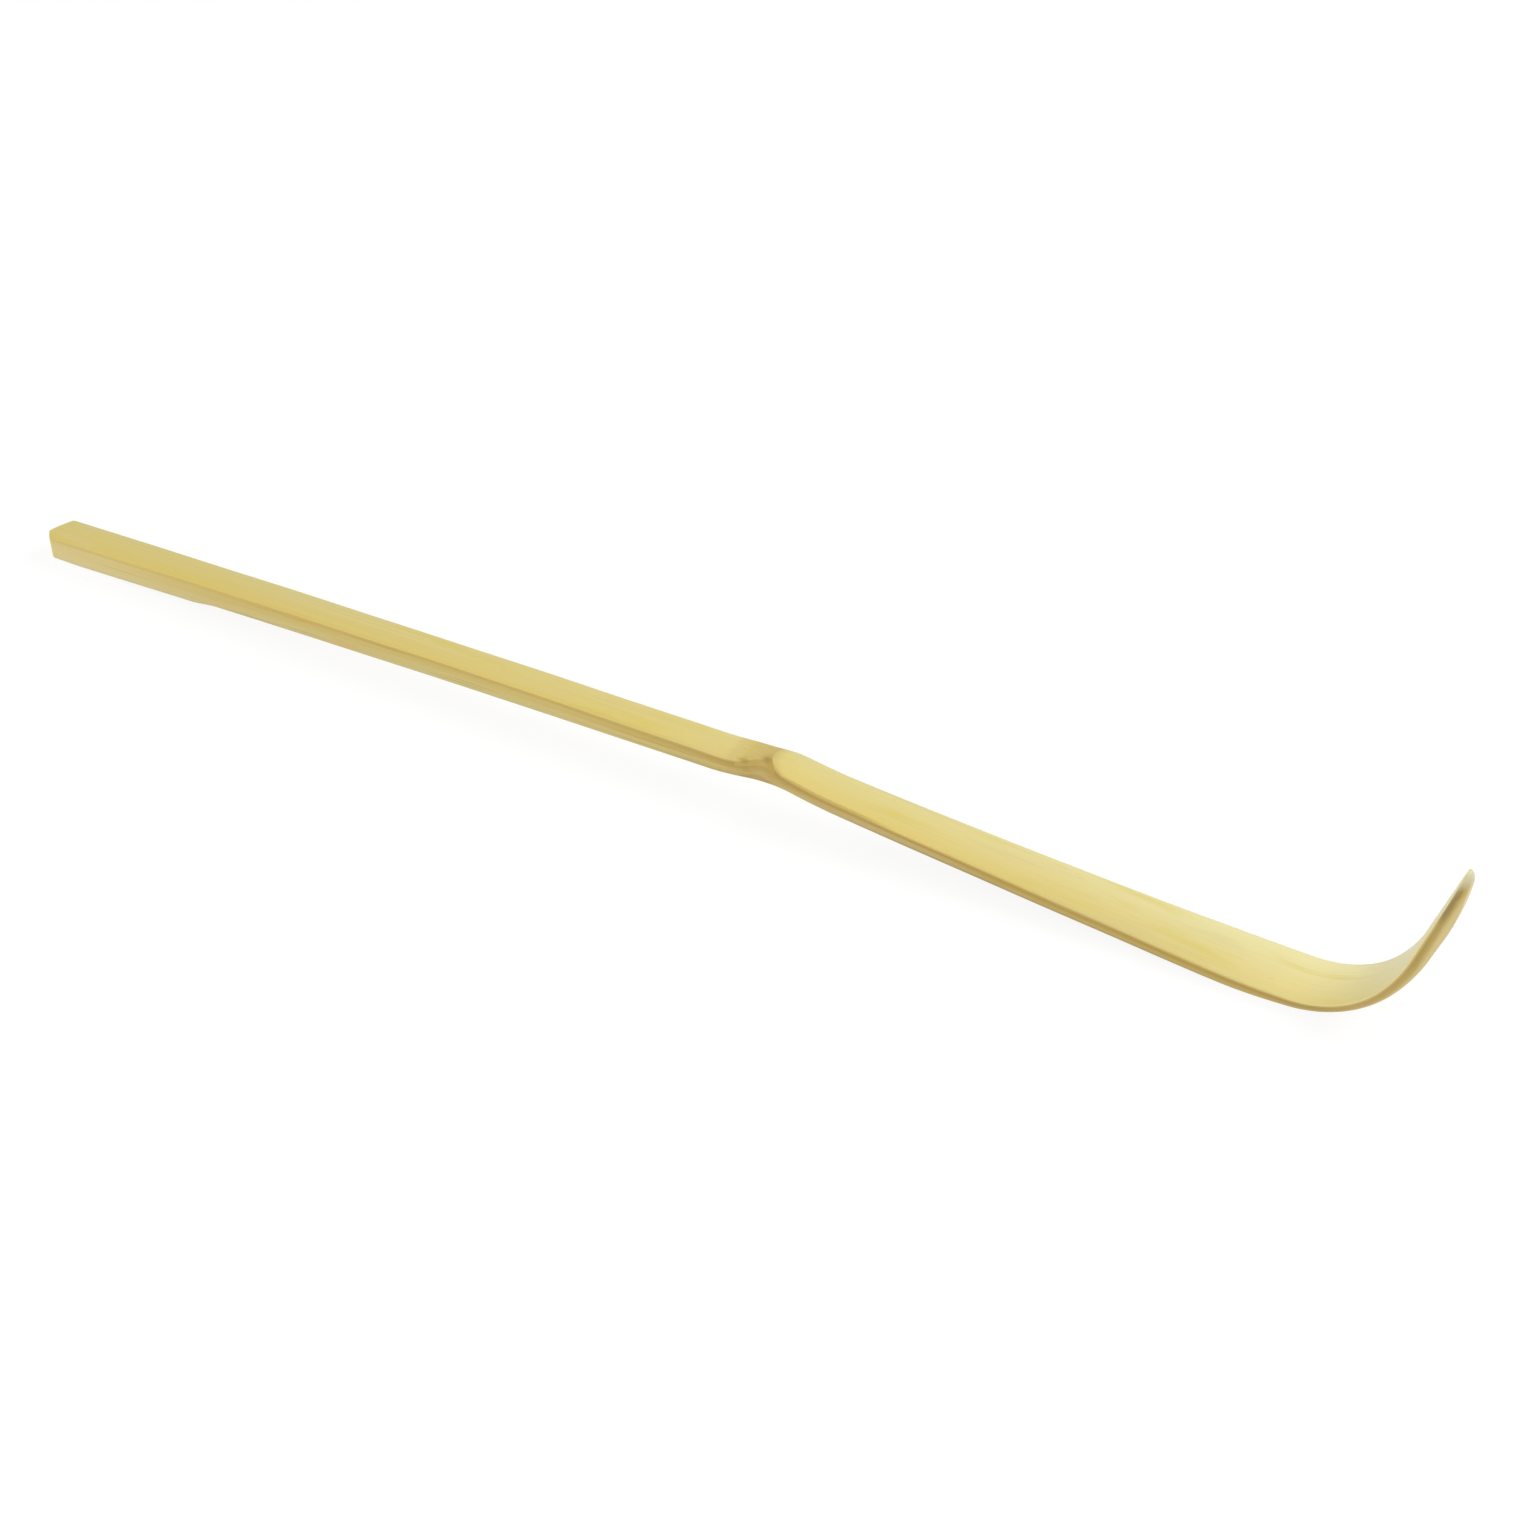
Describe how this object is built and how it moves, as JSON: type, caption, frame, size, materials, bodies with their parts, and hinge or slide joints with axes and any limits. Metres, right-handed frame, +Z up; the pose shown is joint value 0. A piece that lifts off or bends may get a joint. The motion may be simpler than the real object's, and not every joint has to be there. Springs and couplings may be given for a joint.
{
  "type": "chashaku tea scoop",
  "caption": "Slender bamboo tea scoop: a squared grip, a humped node at mid-length, and a widening blade that curls up into a narrow round-ended tip for lifting powdered tea.",
  "frame": {"origin": "on the table, below the middle of the scoop's length, midway across it", "axes": "+X from the butt of the grip to the curled tip, +Y across the scoop to the left of someone looking from the butt to the tip, +Z up, skin side up"},
  "size_m": [0.183, 0.0078, 0.0242],
  "materials": {
    "cut_bamboo": "satin, knife-cut fibre",
    "bamboo_skin": "smooth satin skin",
    "planed_node": "satin, planed across the node"
  },
  "bodies": {
    "root": {"culm_wall": "cut_bamboo", "grip_skin": "bamboo_skin", "blade_skin": "bamboo_skin", "node_ring": "planed_node", "septum_stub": "planed_node"}
  },
  "joints": []
}
